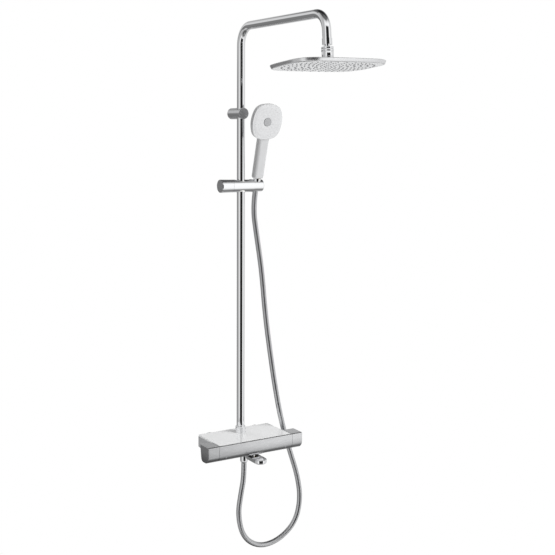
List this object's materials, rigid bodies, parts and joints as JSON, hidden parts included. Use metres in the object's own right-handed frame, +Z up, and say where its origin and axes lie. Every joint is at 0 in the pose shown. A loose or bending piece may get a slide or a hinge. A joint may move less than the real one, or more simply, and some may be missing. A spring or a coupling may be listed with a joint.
{
  "type": "rainfall shower column",
  "caption": "Wall-mounted thermostatic shower column: shelf mixer with bath spout, riser, swivelling arm with rectangular rain head, and a sliding holder with handset and hanging hose.",
  "frame": {"origin": "midway between the two wall inlets, on the finished wall", "axes": "+X to the right seen from the front, +Y into the wall, +Z up"},
  "size_m": [0.3512, 0.578, 1.4941],
  "materials": {
    "chrome": "polished",
    "satin_metal": "satin",
    "tab_metal": "satin",
    "steel": "machined",
    "brass": "cast and turned",
    "white_shelf": "gloss",
    "white_plastic": "gloss",
    "housing_plastic": "matt",
    "inner_plastic": "moulded",
    "spray_plate_plastic": "matt",
    "face_plastic": "satin",
    "button_plastic": "satin",
    "hose_skin": "satin silver",
    "seal_rubber": "matt",
    "nozzle_rubber": "matt"
  },
  "bodies": {
    "root": {"s_union_left": "brass", "s_union_right": "brass", "escutcheon_left": "chrome", "escutcheon_right": "chrome", "union_nut_left": "chrome", "union_nut_right": "chrome", "inlet_filters": "seal_rubber", "check_valves": "inner_plastic", "mixer_body": "brass", "thermostatic_cartridge": "brass", "diverter_cartridge": "brass", "front_bar": "satin_metal", "rear_housing": "housing_plastic", "shelf_plate": "white_shelf", "hose_outlet_nipple": "brass", "hose_lower_washer": "seal_rubber", "hose_lower_nut": "chrome", "shower_hose": "hose_skin", "column_ferrule": "chrome", "column_tube": "chrome", "column_inlet_sleeve": "brass", "swivel_bush": "brass", "swivel_o_rings": "seal_rubber", "bracket_sleeve": "satin_metal", "bracket_foot": "steel", "bracket_grub_screw": "steel", "bracket_cap": "satin_metal"},
    "temperature": {"temperature_knob": "satin_metal", "temperature_spindle": "steel"},
    "diverter": {"diverter_knob": "satin_metal", "diverter_spindle": "steel"},
    "tab": {"diverter_tab": "tab_metal"},
    "spout": {"bath_spout": "chrome", "spout_o_ring": "seal_rubber", "spout_aerator": "inner_plastic"},
    "arm": {"arm_tube": "chrome", "arm_collar": "chrome", "ball_stem": "chrome"},
    "seat": {"ball_seat": "inner_plastic"},
    "head": {"swivel_nut": "chrome", "head_cover": "chrome", "head_gasket": "seal_rubber", "head_screws": "steel", "spray_plate": "spray_plate_plastic", "rain_nozzles": "nozzle_rubber"},
    "slider": {"slider_body": "chrome", "slider_bush": "inner_plastic"},
    "lock": {"lock_knob": "chrome", "lock_knob_disc": "satin_metal", "lock_screw": "steel"},
    "holder": {"handset_holder": "chrome", "holder_pivot": "steel"},
    "handset": {"handset_body": "white_plastic", "handset_face": "face_plastic", "handset_nozzles": "nozzle_rubber", "handset_inlet": "brass", "hose_upper_nut": "chrome", "hose_upper_washer": "seal_rubber", "button_spring": "steel"},
    "button": {"handset_button": "button_plastic"}
  },
  "joints": [
    {"name": "temperature_turn", "type": "hinge", "parent": "root", "child": "temperature", "pos_m": [-0.135, -0.117, 0.008], "axis": [1, 0, 0], "range_deg": [-150, 60]},
    {"name": "diverter_turn", "type": "hinge", "parent": "root", "child": "diverter", "pos_m": [0.135, -0.117, 0.008], "axis": [1, 0, 0], "range_deg": [-90, 90]},
    {"name": "tab_pull", "type": "slide", "parent": "root", "child": "tab", "axis": [0, -1, 0], "range_m": [0, 0.005]},
    {"name": "spout_swing", "type": "hinge", "parent": "root", "child": "spout", "pos_m": [0, -0.117, -0.022], "axis": [0, 0, 1], "range_deg": [-60, 60]},
    {"name": "arm_swivel", "type": "hinge", "parent": "root", "child": "arm", "pos_m": [0, -0.05, 0.95], "axis": [0, 0, 1], "range_deg": [-45, 45]},
    {"name": "head_tilt_front", "type": "hinge", "parent": "arm", "child": "seat", "pos_m": [0, -0.4622, 1.07], "axis": [1, 0, 0], "range_deg": [-10, 10]},
    {"name": "head_tilt_side", "type": "hinge", "parent": "seat", "child": "head", "pos_m": [0, -0.4622, 1.07], "axis": [0, 1, 0], "range_deg": [-10, 10]},
    {"name": "slider_slide", "type": "slide", "parent": "root", "child": "slider", "axis": [0, 0, 1], "range_m": [-0.4, 0.14], "deforming": ["shower_hose"]},
    {"name": "lock_turn", "type": "hinge", "parent": "slider", "child": "lock", "pos_m": [-0.045, -0.05, 0.734], "axis": [1, 0, 0], "range_deg": [0, 90]},
    {"name": "holder_tilt", "type": "hinge", "parent": "slider", "child": "holder", "pos_m": [0.0492, -0.05, 0.734], "axis": [1, 0, 0], "range_deg": [-5, 40], "deforming": ["shower_hose"]},
    {"name": "handset_lift", "type": "slide", "parent": "holder", "child": "handset", "axis": [0, -0.2588, 0.9659], "range_m": [0, 0.045], "deforming": ["shower_hose"]},
    {"name": "button_press", "type": "slide", "parent": "handset", "child": "button", "axis": [0, 0.9659, 0.2588], "range_m": [0, 0.0016], "stiffness_N_per_m": 400, "deforming": ["button_spring"]}
  ]
}
